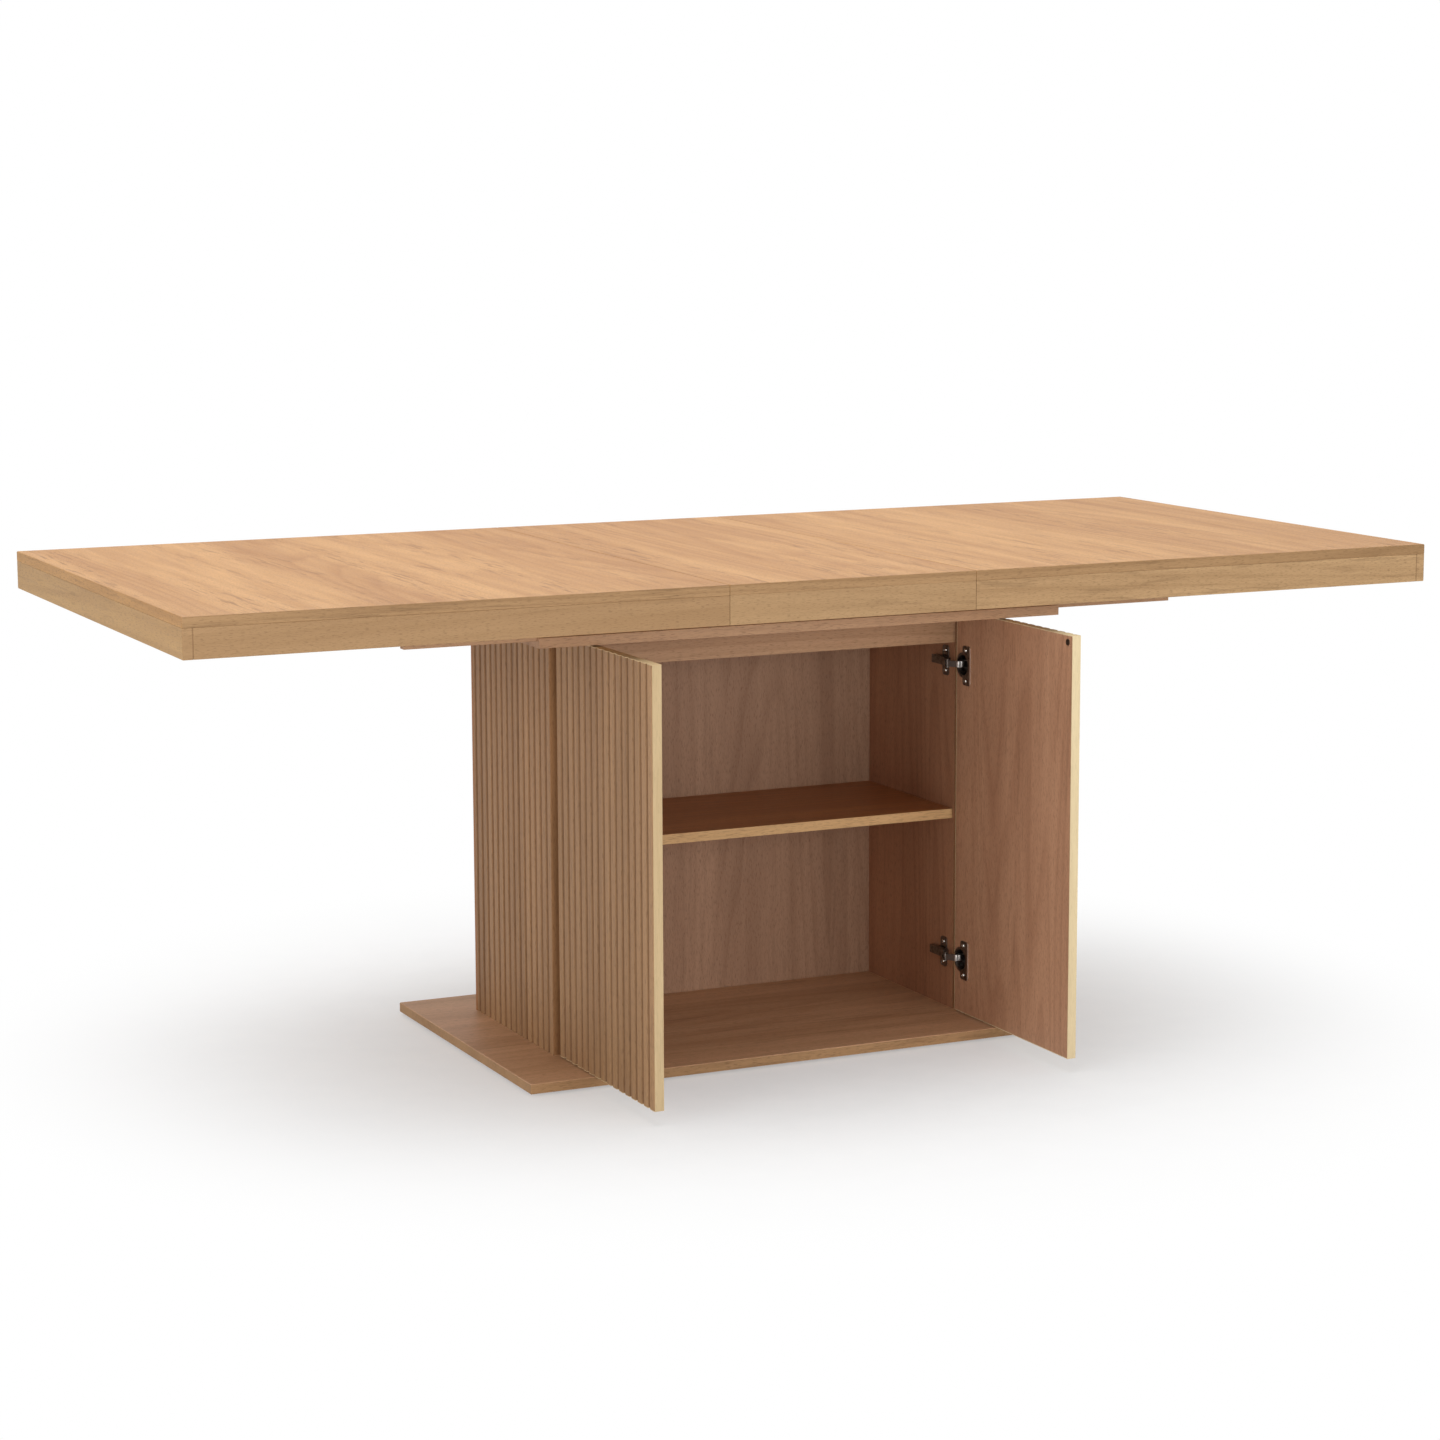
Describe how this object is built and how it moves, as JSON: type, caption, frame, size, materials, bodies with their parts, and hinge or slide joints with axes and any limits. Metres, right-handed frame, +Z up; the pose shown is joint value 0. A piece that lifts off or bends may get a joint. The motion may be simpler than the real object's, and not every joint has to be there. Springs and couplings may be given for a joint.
{
  "type": "extending table with storage cabinet",
  "caption": "Extending dining table: sliding halves and a lift-out leaf on beams over a fluted pedestal cabinet with a shelf, a base plate and hinged doors.",
  "frame": {"origin": "on the floor under the middle of the table top, at the middle glide", "axes": "+X along the table's length, +Y from the doors to the back panel, +Z up"},
  "size_m": [2, 0.955, 0.76],
  "materials": {
    "oak_top": "matt oak, grain across",
    "oak_apron": "matt oak, grain along",
    "oak_fluted": "matt oak, upright",
    "oak_board": "matt oak",
    "batten_wood": "plain planed beech",
    "edge_band": "wood print",
    "hinge_steel": "nickel plated",
    "fastener_steel": "zinc plated",
    "dark_plastic": "matt",
    "strike_steel": "darkened"
  },
  "bodies": {
    "cabinet": {"base_plate": "oak_board", "floor_glides": "dark_plastic", "left_side": "oak_fluted", "right_side": "oak_fluted", "side_lippings": "edge_band", "back_panel": "oak_fluted", "shelf": "oak_board", "shelf_band": "edge_band", "shelf_pins": "fastener_steel", "front_rail": "oak_board", "top_plate": "oak_board", "front_beam": "oak_board", "back_beam": "oak_board", "latch_housings": "dark_plastic", "hinge_plates": "hinge_steel", "plate_screws": "fastener_steel", "left_arms": "hinge_steel", "right_arms": "hinge_steel", "arm_pins": "hinge_steel"},
    "leaf": {"leaf_top": "oak_top", "leaf_front_apron": "oak_apron", "leaf_back_apron": "oak_apron", "leaf_front_cleat": "batten_wood", "leaf_back_cleat": "batten_wood"},
    "left_half": {"left_top": "oak_top", "left_front_apron": "oak_apron", "left_back_apron": "oak_apron", "left_end_apron": "oak_apron", "left_front_batten": "batten_wood", "left_back_batten": "batten_wood"},
    "left_door": {"left_door": "oak_fluted", "left_door_bands": "edge_band", "left_upper_cup": "hinge_steel", "left_lower_cup": "hinge_steel", "left_cup_pins": "hinge_steel", "left_cup_screws": "fastener_steel", "left_strike": "strike_steel"},
    "left_links": {"left_links": "hinge_steel"},
    "left_plunger": {"left_plunger": "dark_plastic"},
    "right_half": {"right_top": "oak_top", "right_front_apron": "oak_apron", "right_back_apron": "oak_apron", "right_end_apron": "oak_apron", "right_front_batten": "batten_wood", "right_back_batten": "batten_wood"},
    "right_door": {"right_door": "oak_fluted", "right_door_bands": "edge_band", "right_upper_cup": "hinge_steel", "right_lower_cup": "hinge_steel", "right_cup_pins": "hinge_steel", "right_cup_screws": "fastener_steel", "right_strike": "strike_steel"},
    "right_links": {"right_links": "hinge_steel"},
    "right_plunger": {"right_plunger": "dark_plastic"}
  },
  "joints": [
    {"name": "leaf_lift", "type": "slide", "parent": "cabinet", "child": "leaf", "axis": [0, 0, 1], "range_m": [0, 0.1]},
    {"name": "left_half_slide", "type": "slide", "parent": "cabinet", "child": "left_half", "axis": [-1, 0, 0], "range_m": [0, 0.04]},
    {"name": "left_link_turn", "type": "hinge", "parent": "cabinet", "child": "left_links", "pos_m": [-0.31918, -0.14697, 0.3415], "axis": [0, 0, -1], "range_deg": [-3, 53]},
    {"name": "left_door_turn", "type": "hinge", "parent": "left_links", "child": "left_door", "pos_m": [-0.3345, -0.164, 0.3415], "axis": [0, 0, -1], "range_deg": [-142.97, 7.9]},
    {"name": "left_plunger_press", "type": "slide", "parent": "cabinet", "child": "left_plunger", "axis": [0, 1, 0], "range_m": [0, 0.003], "stiffness_N_per_m": 500},
    {"name": "right_half_slide", "type": "slide", "parent": "cabinet", "child": "right_half", "axis": [1, 0, 0], "range_m": [0, 0.04]},
    {"name": "right_link_turn", "type": "hinge", "parent": "cabinet", "child": "right_links", "pos_m": [0.31918, -0.14697, 0.3415], "axis": [0, 0, 1], "range_deg": [-3, 53]},
    {"name": "right_door_turn", "type": "hinge", "parent": "right_links", "child": "right_door", "pos_m": [0.3345, -0.164, 0.3415], "axis": [0, 0, 1], "range_deg": [-142.97, 7.9]},
    {"name": "right_plunger_press", "type": "slide", "parent": "cabinet", "child": "right_plunger", "axis": [0, 1, 0], "range_m": [0, 0.003], "stiffness_N_per_m": 500}
  ],
  "couplings": [
    {"joint": "left_link_turn", "follows": "left_door_turn", "ratio": -0.37048},
    {"joint": "right_link_turn", "follows": "right_door_turn", "ratio": -0.37048}
  ]
}
